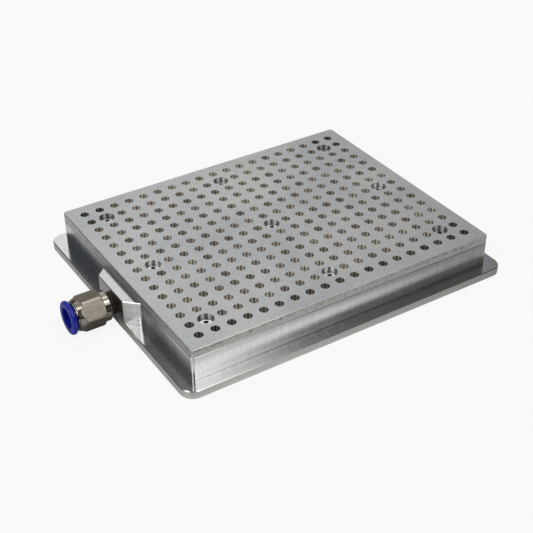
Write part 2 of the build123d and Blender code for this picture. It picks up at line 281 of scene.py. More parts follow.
def make_floor():
    """Plain white floor with the table's faint shadow; metal sees it unevenly lit."""
    h = FLOOR_SIZE / 2
    mesh = bpy.data.meshes.new("floor")
    mesh.from_pydata([(-h, -h, 0), (h, -h, 0), (h, h, 0), (-h, h, 0)], [], [(0, 1, 2, 3)])
    floor_sheet = placed("floor", mesh)
    made, tree = material("white_floor")
    matt = add(tree, "ShaderNodeBsdfDiffuse", {"Color": "#f4f4f4"})
    place = add(tree, "ShaderNodeNewGeometry").outputs["Position"]
    lit = FLOOR_DIM
    for name, x, y, reach_x, reach_y, extra in FLOOR_PATCHES:
        away = add(tree, VECTOR, {0: place, 1: (x, y, 0)}, operation="SUBTRACT", label=name)
        away = add(tree, VECTOR, {0: away, 1: (1 / reach_x, 1 / reach_y, 0)}, operation="MULTIPLY")
        far = add(tree, VECTOR, {0: away}, operation="LENGTH")
        more = add(tree, RANGE, {"Value": far, "From Min": 1.0, "From Max": 0.0, "To Max": extra})
        lit = add(tree, MATH, {0: more, 1: lit}, operation="ADD")
    rays = add(tree, "ShaderNodeLightPath")
    by_camera = rays.outputs["Is Camera Ray"]
    level = add(tree, MIX, {"Factor": by_camera, "A": lit, "B": 1.0})
    glow = add(tree, "ShaderNodeEmission", {"Strength": level})
    shiny = add(tree, MATH, {
        0: rays.outputs["Is Glossy Ray"], 1: rays.outputs["Is Transmission Ray"],
    }, operation="MAXIMUM")
    seen = add(tree, MATH, {0: by_camera, 1: shiny}, operation="MAXIMUM")
    share = add(tree, MATH, {0: seen, 1: FLOOR_WHITE}, operation="MULTIPLY")
    mixed = add(tree, "ShaderNodeMixShader", {0: share, 1: matt, 2: glow})
    add(tree, "ShaderNodeOutputMaterial", {"Surface": mixed})
    mesh.materials.append(made)


# Finishes

def finished(made, colour, rough, relief=None, strength=0.2, depth=0.02, **look):
    """Completes a material with its shader. Strength and depth, in mm, are its relief's."""
    tree = made.node_tree
    look.update({"Base Color": colour, "Roughness": rough})
    if relief:
        look["Normal"] = add(tree, "ShaderNodeBump", {
            "Strength": strength, "Distance": depth * MM, "Height": relief,
        })
    shader = add(tree, "ShaderNodeBsdfPrincipled", look)
    add(tree, "ShaderNodeOutputMaterial", {"Surface": shader})
    return made


def painted_shade_on_base(tree, xyz, upright):
    """How strongly painted shade darkens the base, from 0 to 1."""
    above = add(tree, MATH, {0: xyz.outputs["Z"], 1: (FLANGE_TOP - 0.05) * MM}, operation="GREATER_THAN")
    on_walls = add(tree, MATH, {0: above, 1: upright}, operation="MULTIPLY")
    # Just under the plate the painted shade also lies on the level face of the boss
    shade_below_plate = add(tree, RANGE, {
        "Value": xyz.outputs["Z"], "From Min": (WALL_TOP - 6) * MM, "From Max": (WALL_TOP - 0.5) * MM,
        "To Max": 0.26,
    })
    stronger_rightwards = add(tree, RANGE, {
        "Value": xyz.outputs["X"], "From Min": -80 * MM, "From Max": -20 * MM, "To Min": 0.4,
    })
    deepest_shade = add(tree, MATH, {0: shade_below_plate, 1: stronger_rightwards}, operation="MULTIPLY")
    for name, darkness, limits in WALL_PAINTED_SHADES:
        shade_layer = add(tree, MATH, {0: on_walls, 1: darkness}, operation="MULTIPLY", label=name)
        for axis, start, full, least in limits:
            share = add(tree, RANGE, {
                "Value": xyz.outputs[axis], "From Min": start * MM, "From Max": full * MM, "To Min": least,
            }, interpolation_type="SMOOTHSTEP" if axis == "Z" else "LINEAR")
            shade_layer = add(tree, MATH, {0: shade_layer, 1: share}, operation="MULTIPLY")
        deepest_shade = add(tree, MATH, {0: deepest_shade, 1: shade_layer}, operation="MAXIMUM")
    return deepest_shade


def machined_aluminium():
    """Milled aluminium: satin walls with upright cutter lines, a bright ledge with fine tool marks
    that mirrors them, and a duller, warmer sawn rim round the flange."""
    made, tree = material("milled_aluminium")
    place = add(tree, PLACE).outputs["Object"]
    xyz = add(tree, SPLIT, {0: place})
    facing = add(tree, SPLIT, {0: add(tree, "ShaderNodeNewGeometry").outputs["Normal"]})
    tilt = add(tree, MATH, {0: facing.outputs["Z"]}, operation="ABSOLUTE")
    level = add(tree, RANGE, {"Value": tilt, "From Min": LEVEL_FROM, "From Max": LEVEL_FULL})
    upright = add(tree, MATH, {0: 1.0, 1: level}, operation="SUBTRACT")
    low = add(tree, MATH, {0: xyz.outputs["Z"], 1: (FLANGE_TOP - 0.4) * MM}, operation="LESS_THAN")
    rim = add(tree, MATH, {0: low, 1: upright}, operation="MULTIPLY")

    # Cutter lines over a millimetre apart, coarser than the real ones so that they show
    upright_lines = add(tree, VECTOR, {0: place, 1: (1, 1, 0.04)}, operation="MULTIPLY")
    lines = add(tree, NOISE, {"Vector": upright_lines, "Scale": per(1.5), "Detail": 1.5})
    beside = add(tree, MATH, {0: xyz.outputs["X"]}, operation="ABSOLUTE")
    end = add(tree, MATH, {0: beside, 1: BODY_END * MM}, operation="GREATER_THAN")
    across_long = add(tree, VECTOR, {0: place, 1: (1, 0.05, 1)}, operation="MULTIPLY")
    across_end = add(tree, VECTOR, {0: place, 1: (0.05, 1, 1)}, operation="MULTIPLY")
    across = add(tree, MIX, {"Factor": end, "A": across_long, "B": across_end}, data_type="VECTOR")
    marks = add(tree, NOISE, {"Vector": across, "Scale": per(0.9), "Detail": 3.0, "Roughness": 0.6})
    cloud = add(tree, NOISE, {"Vector": place, "Scale": per(14), "Detail": 2.0})
    grain = add(tree, NOISE, {"Vector": place, "Scale": per(0.8), "Detail": 2.0})

    # Level streaks that the side of the cutter left along the walls
    level_lines = add(tree, VECTOR, {0: place, 1: (0.02, 0.02, 1)}, operation="MULTIPLY")
    streaks = add(tree, NOISE, {"Vector": level_lines, "Scale": per(3.2), "Detail": 1.0})
    strokes = add(tree, MIX, {"Factor": 0.6, "A": lines, "B": streaks})
    wall_mix = add(tree, RANGE, {"Value": strokes, "From Min": 0.35, "From Max": 0.65})
    wall = add(tree, MIX, {"Factor": wall_mix, "A": "#d2d2d1", "B": "#e7e7e5"}, data_type="RGBA")
    ledge = add(tree, MIX, {"Factor": marks, "A": "#d5d5d5", "B": "#ededed"}, data_type="RGBA")
    sawn = add(tree, MIX, {"Factor": grain, "A": "#c6c4c0", "B": "#d6d4d1"}, data_type="RGBA")
    body = add(tree, MIX, {"Factor": level, "A": wall, "B": ledge}, data_type="RGBA")
    skin = add(tree, MIX, {"Factor": rim, "A": body, "B": sawn}, data_type="RGBA")
    painted_shade_share = painted_shade_on_base(tree, xyz, upright)
    # Painted shade: darker at the wall's foot, just under the plate, low on the front and low on the left
    # end
    colour = add(tree, MIX, {"Factor": painted_shade_share, "A": skin, "B": "#2b2b2d"}, data_type="RGBA")

    wall_rough = add(tree, RANGE, {"Value": cloud, "To Min": 0.15, "To Max": 0.2})
    ledge_rough = add(tree, RANGE, {"Value": marks, "To Min": 0.07, "To Max": 0.15})
    smooth = add(tree, MIX, {"Factor": level, "A": wall_rough, "B": ledge_rough})
    rough = add(tree, MIX, {"Factor": rim, "A": smooth, "B": 0.5})
    metal = add(tree, MIX, {"Factor": rim, "A": 1.0, "B": 0.55})
    relief = add(tree, MIX, {"Factor": level, "A": lines, "B": marks})
    # The shine spreads upright on walls and, through its little X, along X on level faces
    shine = add(tree, JOIN, {"X": 0.01, "Z": 1.0})
    return finished(made, colour, rough, relief, 0.12, Metallic=metal, Anisotropic=0.8, Tangent=shine)


def ground_aluminium():
    """Rolled and fine-ground plate face: matt, with cloudy patches and fine grain, the widest of it
    coarser than the real one so that it shows."""
    made, tree = material("ground_plate_face")
    place = add(tree, PLACE).outputs["Object"]
    cloud = add(tree, NOISE, {"Vector": place, "Scale": per(45), "Detail": 3.0, "Roughness": 0.55})
    grain = add(tree, NOISE, {"Vector": place, "Scale": per(1.2), "Detail": 4.0, "Roughness": 0.8})
    shade = add(tree, RANGE, {"Value": cloud, "From Min": 0.35, "From Max": 0.65})
    base = add(tree, MIX, {"Factor": shade, "A": "#dadddf", "B": "#eeedeb"}, data_type="RGBA")
    speck = add(tree, RANGE, {
        "Value": grain, "From Min": 0.3, "From Max": 0.7, "To Min": 0.8, "To Max": 1.13,
    })
    colour = add(tree, MIX, {
        "Factor": 1.0, "A": base, "B": speck,
    }, data_type="RGBA", blend_type="MULTIPLY")
    rough = add(tree, RANGE, {"Value": grain, "To Min": 0.36, "To Max": 0.52})
    return finished(made, colour, rough, grain, 0.25, 0.03, Metallic=1.0)


def pitted_edge():
    """Rolled edge of the plate: warm grey, with brown-grey pits and smears along its upper part."""
    made, tree = material("pitted_plate_edge")
    place = add(tree, PLACE).outputs["Object"]
    xyz = add(tree, SPLIT, {0: place})
    grain = add(tree, NOISE, {"Vector": place, "Scale": per(0.9), "Detail": 4.0, "Roughness": 0.7})
    long_marks = add(tree, VECTOR, {0: place, 1: (0.5, 0.5, 1)}, operation="MULTIPLY")
    blotch = add(tree, NOISE, {"Vector": long_marks, "Scale": per(1.5), "Detail": 4.0, "Roughness": 0.7})
    high = add(tree, RANGE, {
        "Value": xyz.outputs["Z"], "From Min": (WALL_TOP + 0.5) * MM, "From Max": (WALL_TOP + 4.3) * MM,
        "To Max": 0.14,
    })
    raised = add(tree, MATH, {0: blotch, 1: high}, operation="ADD")
    pits = add(tree, RANGE, {"Value": raised, "From Min": 0.6, "From Max": 0.74, "To Max": 0.6})
    base = add(tree, MIX, {"Factor": grain, "A": "#d0cecb", "B": "#e2e0dd"}, data_type="RGBA")
    # Painted shade: the left edge is darker towards the front
    left_edge = add(tree, MATH, {0: xyz.outputs["X"], 1: (0.5 - BODY_END) * MM}, operation="LESS_THAN")
    shade_towards_front = add(tree, RANGE, {
        "Value": xyz.outputs["Y"], "From Max": 70 * MM, "To Min": 0.45, "To Max": 0.0,
    })
    darkening_with_painted_shade = add(tree, MATH, {0: left_edge, 1: shade_towards_front}, operation="MULTIPLY")
    base = add(tree, MIX, {"Factor": darkening_with_painted_shade, "A": base, "B": "#6f6e6c"}, data_type="RGBA")
    colour = add(tree, MIX, {"Factor": pits, "A": base, "B": "#7d7267"}, data_type="RGBA")
    rough = add(tree, RANGE, {"Value": pits, "To Min": 0.42, "To Max": 0.7})
    depth = add(tree, MATH, {0: grain, 1: pits}, operation="SUBTRACT")
    return finished(made, colour, rough, depth, 0.3, 0.05, Metallic=0.6)


def drilled_wall():
    """Wall of a drilled and reamed hole: its shine spreads up and down, between upright stripes of
    painted shade, six round the hole. Every hole has its own random tone, and those near the corners
    and along the front row carry painted shade and are the darkest."""
    made, tree = material("drilled_wall")
    place = add(tree, PLACE).outputs["Object"]
    rings = add(tree, VECTOR, {0: place, 1: (0.2, 0.2, 1)}, operation="MULTIPLY")
    feed = add(tree, NOISE, {"Vector": rings, "Scale": per(0.4), "Detail": 2.0})
    base = add(tree, MIX, {"Factor": feed, "A": "#ece2d0", "B": "#fbf5e8"}, data_type="RGBA")

    pitch = HOLE_PITCH * MM
    shifted = add(tree, VECTOR, {0: place, 1: (pitch / 2, pitch / 2, 0.5)}, operation="ADD")
    hole = add(tree, VECTOR, {0: shifted, 1: (pitch, pitch, 1)}, operation="SNAP")
    chance = add(tree, "ShaderNodeTexWhiteNoise", {"Vector": hole}, noise_dimensions="3D")
    own = add(tree, RANGE, {"Value": chance, "To Min": 0.72, "To Max": 1.2})
    out = add(tree, SPLIT, {0: add(tree, VECTOR, {0: place, 1: hole}, operation="SUBTRACT")})
    radius = add(tree, VECTOR, {0: level_way(tree, hole, place)}, operation="LENGTH")
    # The wide recesses were cut with another tool, which left them greyer
    recess = add(tree, MATH, {0: radius, 1: (HOLE_RADIUS + 0.8) * MM}, operation="GREATER_THAN")
    base = add(tree, MIX, {"Factor": recess, "A": base, "B": "#f0efee"}, data_type="RGBA")
    # Upright stripes of painted shade round the wall
    angle = add(tree, MATH, {0: out.outputs["Y"], 1: out.outputs["X"]}, operation="ARCTAN2")
    turned = add(tree, MATH, {0: angle, 1: PAINTED_STRIPES, 2: PAINTED_STRIPE_TURN}, operation="MULTIPLY_ADD")
    wave = add(tree, MATH, {0: turned}, operation="COSINE")
    stripes_of_shade = add(tree, RANGE, {
        "Value": wave, "From Min": -0.3, "From Max": 0.9, "To Min": 1.0, "To Max": 0.5,
    })
    # Places counted in half grids: 1 and 1 at a corner hole, and -1 along the front row
    half_grid = ((HOLE_COLUMNS - 1) / 2 * pitch, (HOLE_ROWS - 1) / 2 * pitch, 1)
    share = add(tree, SPLIT, {0: add(tree, VECTOR, {0: hole, 1: half_grid}, operation="DIVIDE")})
    sideways = add(tree, MATH, {0: share.outputs["X"]}, operation="ABSOLUTE")
    lengthways = add(tree, MATH, {0: share.outputs["Y"]}, operation="ABSOLUTE")
    outer = add(tree, MATH, {0: sideways, 1: lengthways}, operation="ADD")
    # Painted shade: holes near the corners and along the front row are darker
    corner = add(tree, RANGE, {
        "Value": outer, "From Min": 1.72, "From Max": 1.86, "To Min": 1.0, "To Max": 0.35,
    })
    front = add(tree, RANGE, {
        "Value": share.outputs["Y"], "From Min": -0.98, "From Max": -0.88, "To Min": 0.5,
    })
    unshaded_share = add(tree, MATH, {0: corner, 1: front}, operation="MINIMUM")
    darkening_with_painted_shade = add(tree, MATH, {0: unshaded_share, 1: own}, operation="MULTIPLY")
    darkening_with_painted_shade = add(tree, MATH, {0: darkening_with_painted_shade, 1: stripes_of_shade}, operation="MULTIPLY")
    colour = add(tree, MIX, {
        "Factor": 1.0, "A": base, "B": darkening_with_painted_shade,
    }, data_type="RGBA", blend_type="MULTIPLY")
    shine = add(tree, JOIN, {"Z": 1.0})
    return finished(made, colour, 0.56, feed, 0.3, Metallic=1.0, Anisotropic=1.0, Tangent=shine)


def bright_steel(name, light, dark, smoothest, roughest):
    """Steel with fine scratches along Y, in its colour and in its shine."""
    made, tree = material(name)
    place = add(tree, PLACE).outputs["Object"]
    stretched = add(tree, VECTOR, {0: place, 1: (1, 0.15, 1)}, operation="MULTIPLY")
    scratch = add(tree, NOISE, {"Vector": stretched, "Scale": per(0.3), "Detail": 3.0})
    colour = add(tree, MIX, {"Factor": scratch, "A": dark, "B": light}, data_type="RGBA")
    rough = add(tree, RANGE, {"Value": scratch, "To Min": smoothest, "To Max": roughest})
    return finished(made, colour, rough, Metallic=1.0)


def nickel_plate(name, lines_along, light, dark, roughness):
    """Bright nickel over brass, warm grey: drawn flats carry lines along the bar, turned parts rings."""
    made, tree = material(name)
    place = add(tree, PLACE).outputs["Object"]
    squeeze = (0.04, 1, 1) if lines_along else (1, 0.1, 0.1)
    stretched = add(tree, VECTOR, {0: place, 1: squeeze}, operation="MULTIPLY")
    lines = add(tree, NOISE, {"Vector": stretched, "Scale": per(0.8), "Detail": 4.0, "Roughness": 0.7})
    cloud = add(tree, NOISE, {"Vector": place, "Scale": per(3), "Detail": 3.0})
    patchy = add(tree, MIX, {"Factor": 0.25, "A": lines, "B": cloud})
    strong = add(tree, RANGE, {"Value": patchy, "From Min": 0.35, "From Max": 0.65})
    colour = add(tree, MIX, {"Factor": strong, "A": dark, "B": light}, data_type="RGBA")
    rough = add(tree, RANGE, {"Value": lines, "To Min": roughness * 0.7, "To Max": roughness * 1.3})
    return finished(made, colour, rough, lines, Metallic=1.0)


def moulded(name, light, dark, roughness, peel_mm):
    """Moulded plastic, rubber or dried sealant: even colour, slightly uneven skin."""
    made, tree = material(name)
    place = add(tree, PLACE).outputs["Object"]
    cloud = add(tree, NOISE, {"Vector": place, "Scale": per(5), "Detail": 2.0})
    peel = add(tree, NOISE, {"Vector": place, "Scale": per(peel_mm), "Detail": 2.0})
    colour = add(tree, MIX, {"Factor": cloud, "A": dark, "B": light}, data_type="RGBA")
    rough = add(tree, RANGE, {"Value": peel, "To Min": roughness * 0.85, "To Max": roughness * 1.15})
    return finished(made, colour, rough, peel, 0.15)


# Shapes grown by geometry nodes

def geometry_tree(name, sizes):
    """A geometry tree with one named input for each size, whole numbers as whole numbers."""
    tree = bpy.data.node_groups.new(name, "GeometryNodeTree")
    tree.interface.new_socket("Geometry", in_out="OUTPUT", socket_type="NodeSocketGeometry")
    for label, value in sizes.items():
        kind = "NodeSocketInt" if isinstance(value, int) else "NodeSocketFloat"
        tree.interface.new_socket(label, in_out="INPUT", socket_type=kind)
    return tree, tree.nodes.new("NodeGroupInput").outputs


def grown(name, tree, shape, finishes, sizes):
    """Gives a tree's shape each finish where its test holds, runs the tree with these sizes, and keeps
    the result as a plain closed mesh."""
    for where, finish in finishes:
        shape = add(tree, "GeometryNodeSetMaterial", {
            "Geometry": shape, "Selection": where, "Material": finish,
        })
    add(tree, "NodeGroupOutput", {0: shape})
    piece = placed(name, bpy.data.meshes.new(name + "_seed"))
    modifier = piece.modifiers.new(name, "NODES")
    modifier.node_group = tree
    for socket in tree.interface.items_tree:
        if socket.in_out == "INPUT":
            modifier[socket.identifier] = sizes[socket.name]
    ready = piece.evaluated_get(bpy.context.evaluated_depsgraph_get())
    mesh = bpy.data.meshes.new_from_object(ready)
    piece.modifiers.remove(modifier)
    piece.data = mesh
    outwards(mesh)
    return piece


def outwards(mesh):
    """Turns all faces of a closed mesh outwards, and shades it smooth between its sharp edges."""
    work = bmesh.new()
    work.from_mesh(mesh)
    bmesh.ops.recalc_face_normals(work, faces=work.faces)
    for face in work.faces:
        face.smooth = True
    work.to_mesh(mesh)
    work.free()
    mesh.set_sharp_from_angle(angle=radians(SHARP_ANGLE))


def stand_in(piece, node):
    """Lets a modelled piece stand for its node, on the table's body."""
    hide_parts(node)
    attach(piece, "table")


def less(tree, first, *others):
    """First number less all the others."""
    for other in others:
        first = add(tree, MATH, {0: first, 1: other}, operation="SUBTRACT")
    return first


def grid_centre(tree, place, apart):
    """The nearest point of a level grid with this spacing."""
    middle = add(tree, VECTOR, {0: apart, 1: (0.5, 0.5, 0.5), 2: place}, operation="MULTIPLY_ADD")
    return add(tree, VECTOR, {0: middle, 1: apart}, operation="SNAP")


def level_way(tree, start, end):
    """Level vector from one place to another."""
    way = add(tree, VECTOR, {0: end, 1: start}, operation="SUBTRACT")
    return add(tree, VECTOR, {0: way, 1: (1, 1, 0)}, operation="MULTIPLY")


def open_edges(tree):
    """The edges that only one face has."""
    beside = add(tree, "GeometryNodeInputMeshEdgeNeighbors")
    return add(tree, "FunctionNodeCompare", {"A": beside, "B": 1}, data_type="INT", operation="EQUAL")


def draw_rim(tree, mesh, rim, heading, steps):
    """Draws an open rim on in steps, each so far along its heading and so far down."""
    for out, down in steps:
        drawn = add(tree, "GeometryNodeExtrudeMesh", {
            "Mesh": mesh, "Selection": rim, "Offset Scale": 0.0,
        }, mode="EDGES")
        rim = drawn.outputs["Top"]
        sideways = add(tree, VECTOR, {0: heading, "Scale": out}, operation="SCALE")
        fall = add(tree, JOIN, {"Z": add(tree, MATH, {0: down, 1: -1.0}, operation="MULTIPLY")})
        move = add(tree, VECTOR, {0: sideways, 1: fall}, operation="ADD")
        mesh = add(tree, SHIFT, {
            "Geometry": drawn.outputs["Mesh"], "Selection": rim, "Offset": move,
        })
    return mesh


def plate_face(tree, size, points, screw_here, inset, hole_radius, screw_radius, height):
    """One face of the plate: its rounded outline, moved in by the inset, with every hole cut out."""
    length = less(tree, size["Length"], inset, inset)
    width = less(tree, size["Width"], inset, inset)
    corner = less(tree, size["Corner"], inset)
    outline = add(tree, "GeometryNodeFilletCurve", {
        "Curve": add(tree, "GeometryNodeCurvePrimitiveQuadrilateral", {"Width": length, "Height": width}),
        "Radius": corner, "Count": CORNER_STEPS,
    }, mode="POLY")
    hole = add(tree, CIRCLE, {"Resolution": size["Hole Sides"], "Radius": hole_radius})
    seat = add(tree, CIRCLE, {"Resolution": size["Recess Sides"], "Radius": screw_radius})
    plain = add(tree, BOOLEAN, {0: screw_here}, operation="NOT")
    holes = add(tree, ON_POINTS, {"Points": points, "Selection": plain, "Instance": hole})
    seats = add(tree, ON_POINTS, {"Points": points, "Selection": screw_here, "Instance": seat})
    flat = add(tree, REALIZE, {0: add(tree, UNITE, {0: (outline, holes, seats)})})
    up = add(tree, JOIN, {"Z": height})
    return add(tree, MOVE, {"Geometry": add(tree, FILL, {0: flat}), "Translation": up})


def outline_heading(tree, size, place):
    """Whether a place lies at the plate's edge, and its level heading away from the plate."""
    halves = add(tree, JOIN, {"X": size["Length"], "Y": size["Width"]})
    half_size = add(tree, VECTOR, {0: halves, "Scale": 0.5}, operation="SCALE")
    corners = add(tree, JOIN, {"X": size["Corner"], "Y": size["Corner"]})
    core = add(tree, VECTOR, {0: half_size, 1: corners}, operation="SUBTRACT")
    back_core = add(tree, VECTOR, {0: core, "Scale": -1.0}, operation="SCALE")
    held_low = add(tree, VECTOR, {0: place, 1: back_core}, operation="MAXIMUM")
    held = add(tree, VECTOR, {0: held_low, 1: core}, operation="MINIMUM")
    heading = add(tree, VECTOR, {0: level_way(tree, held, place)}, operation="NORMALIZE")
    beyond = add(tree, VECTOR, {
        0: add(tree, VECTOR, {0: place}, operation="ABSOLUTE"), 1: core,
    }, operation="SUBTRACT")
    over = add(tree, SPLIT, {0: beyond})
    most = add(tree, MATH, {0: over.outputs["X"], 1: over.outputs["Y"]}, operation="MAXIMUM")
    return add(tree, MATH, {0: most, 1: -1e-6}, operation="GREATER_THAN"), heading


def make_drilled_plate(face_finish, edge_finish, hole_finish):
    """The perforated plate: two faces on one grid of holes, joined by walls, recesses and edge breaks."""
    low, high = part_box("perforated_plate")
    sizes = {
        "Length": high[0] - low[0], "Width": high[1] - low[1], "Bottom": low[2], "Top": high[2],
        "Corner": PLATE_CORNER * MM, "Edge Break": PLATE_EDGE_BREAK * MM,
        "Foot Break": PLATE_FOOT_BREAK * MM, "Pitch": HOLE_PITCH * MM,
        "Columns": HOLE_COLUMNS, "Screw Columns Apart": SCREW_COLUMNS_APART,
        "Rows": HOLE_ROWS, "Screw Rows Apart": SCREW_ROWS_APART,
        "Hole Radius": HOLE_RADIUS * MM, "Hole Break": HOLE_BREAK * MM, "Hole Sides": HOLE_SIDES,
        "Recess Radius": RECESS_RADIUS * MM, "Recess Break": RECESS_BREAK * MM,
        "Recess Sides": RECESS_SIDES, "Recess Depth": (HEAD_SINK + HEAD_LAND) * MM,
        "Seat Radius": SEAT_RADIUS * MM, "Plain Hole Radius": PLAIN_HOLE_RADIUS * MM,
    }
    tree, size = geometry_tree("drilled_plate", sizes)
    place = add(tree, "GeometryNodeInputPosition")
    pitch = size["Pitch"]
    hole_apart = add(tree, JOIN, {"X": pitch, "Y": pitch, "Z": 1.0})
    in_screws = add(tree, JOIN, {
        "X": size["Screw Columns Apart"], "Y": size["Screw Rows Apart"], "Z": 1.0,
    })
    screw_apart = add(tree, VECTOR, {0: hole_apart, 1: in_screws}, operation="MULTIPLY")
    half_pitch = add(tree, MATH, {0: pitch, 1: 0.5}, operation="MULTIPLY")
    to_screw = level_way(tree, place, grid_centre(tree, place, screw_apart))
    far = add(tree, VECTOR, {0: to_screw}, operation="LENGTH")
    at_screw = add(tree, MATH, {0: far, 1: half_pitch}, operation="LESS_THAN")
    to_hole = level_way(tree, place, grid_centre(tree, place, hole_apart))
    into_hole = add(tree, VECTOR, {0: to_hole}, operation="NORMALIZE")
    at_edge, outside = outline_heading(tree, size, place)

    steps = [less(tree, size[count], 1.0) for count in ("Columns", "Rows")]
    pattern = [add(tree, MATH, {0: step, 1: pitch}, operation="MULTIPLY") for step in steps]
    points = add(tree, GRID, {
        "Size X": pattern[0], "Size Y": pattern[1],
        "Vertices X": size["Columns"], "Vertices Y": size["Rows"],
    })
    open_edge = open_edges(tree)
    edge_rim = add(tree, BOOLEAN, {0: open_edge, 1: at_edge}, operation="AND")
    screw_rim = add(tree, BOOLEAN, {0: open_edge, 1: at_screw}, operation="AND")
    elsewhere = add(tree, BOOLEAN, {0: at_edge, 1: at_screw}, operation="NOR")
    hole_rim = add(tree, BOOLEAN, {0: open_edge, 1: elsewhere}, operation="AND")

    top_hole = add(tree, MATH, {0: size["Hole Radius"], 1: size["Hole Break"]}, operation="ADD")
    top_recess = add(tree, MATH, {0: size["Recess Radius"], 1: size["Recess Break"]}, operation="ADD")
    mesh = plate_face(tree, size, points, at_screw, size["Edge Break"], top_hole, top_recess, size["Top"])
    thick = less(tree, size["Top"], size["Bottom"])
    side = less(tree, thick, size["Edge Break"], size["Foot Break"])
    foot_in = less(tree, 0.0, size["Foot Break"])
    mesh = draw_rim(tree, mesh, edge_rim, outside, [
        (size["Edge Break"], size["Edge Break"]), (0.0, side), (foot_in, size["Foot Break"]),
    ])
    mesh = draw_rim(tree, mesh, hole_rim, into_hole, [
        (size["Hole Break"], size["Hole Break"]), (0.0, less(tree, thick, size["Hole Break"])),
    ])
    wall = less(tree, size["Recess Depth"], size["Recess Break"])
    land = less(tree, size["Recess Radius"], size["Seat Radius"])
    cone = less(tree, size["Seat Radius"], size["Plain Hole Radius"])
    rest = less(tree, thick, size["Recess Depth"], cone)
    mesh = draw_rim(tree, mesh, screw_rim, into_hole, [
        (size["Recess Break"], size["Recess Break"]), (0.0, wall), (land, 0.0), (cone, cone), (0.0, rest),
    ])
    under = plate_face(tree, size, points, at_screw, size["Foot Break"], size["Hole Radius"],
                       size["Plain Hole Radius"], size["Bottom"])
    closed = add(tree, MERGE, {
        "Geometry": add(tree, UNITE, {0: (mesh, under)}), "Distance": MERGE_NEARER * MM,
    })

    facing = add(tree, SPLIT, {0: add(tree, "GeometryNodeInputNormal")})
    slope = add(tree, MATH, {0: facing.outputs["Z"]}, operation="ABSOLUTE")
    sloping = add(tree, MATH, {0: slope, 1: BORE_LIMIT}, operation="LESS_THAN")
    upright = add(tree, MATH, {0: slope, 1: SIDE_LIMIT}, operation="LESS_THAN")
    in_bore = add(tree, BOOLEAN, {0: sloping, 1: at_edge}, operation="NIMPLY")
    on_side = add(tree, BOOLEAN, {0: upright, 1: at_edge}, operation="AND")
    finishes = [(True, face_finish), (in_bore, hole_finish), (on_side, edge_finish)]
    shape = add(tree, REALIZE, {0: closed})
    stand_in(grown("drilled_plate", tree, shape, finishes, sizes), "perforated_plate")


def threaded_shank(tree, size, top, length, place, inward):
    """An open tube with a right-hand thread cut into it, fading out towards both ends."""
    tube = add(tree, "GeometryNodeMeshCylinder", {
        "Vertices": size["Sides"], "Side Segments": size["Thread Rings"],
        "Radius": size["Shank Radius"], "Depth": length,
    }, fill_type="NONE")
    middle = add(tree, MATH, {0: length, 1: 0.5, 2: top}, operation="MULTIPLY_ADD")
    down = add(tree, JOIN, {"Z": less(tree, 0.0, middle)})
    tube = add(tree, MOVE, {"Geometry": tube, "Translation": down})
    xyz = add(tree, SPLIT, {0: place})
    angle = add(tree, MATH, {0: xyz.outputs["Y"], 1: xyz.outputs["X"]}, operation="ARCTAN2")
    turn = add(tree, MATH, {0: angle, 1: 2 * pi}, operation="DIVIDE")
    turns_up = add(tree, MATH, {0: xyz.outputs["Z"], 1: size["Thread Pitch"]}, operation="DIVIDE")
    phase = add(tree, MATH, {0: less(tree, turns_up, turn)}, operation="FRACT")
    wave = add(tree, MATH, {0: phase, 1: 2.0, 2: -1.0}, operation="MULTIPLY_ADD")
    groove = add(tree, RANGE, {
        "Value": add(tree, MATH, {0: wave}, operation="ABSOLUTE"), "From Min": THREAD_FLAT,
        "From Max": 1 - THREAD_FLAT,
    })
    from_middle = add(tree, MATH, {
        0: add(tree, MATH, {0: xyz.outputs["Z"], 1: middle}, operation="ADD"),
    }, operation="ABSOLUTE")
    half = add(tree, MATH, {0: length, 1: 0.5}, operation="MULTIPLY")
    fade = add(tree, RANGE, {
        "Value": from_middle, "From Min": half, "From Max": less(tree, half, size["Thread Pitch"]),
    })
    cut = add(tree, MATH, {0: groove, 1: fade}, operation="MULTIPLY")
    depth = add(tree, MATH, {0: cut, 1: size["Thread Depth"]}, operation="MULTIPLY")
    offset = add(tree, VECTOR, {0: inward, "Scale": depth}, operation="SCALE")
    return add(tree, SHIFT, {"Geometry": tube, "Offset": offset})


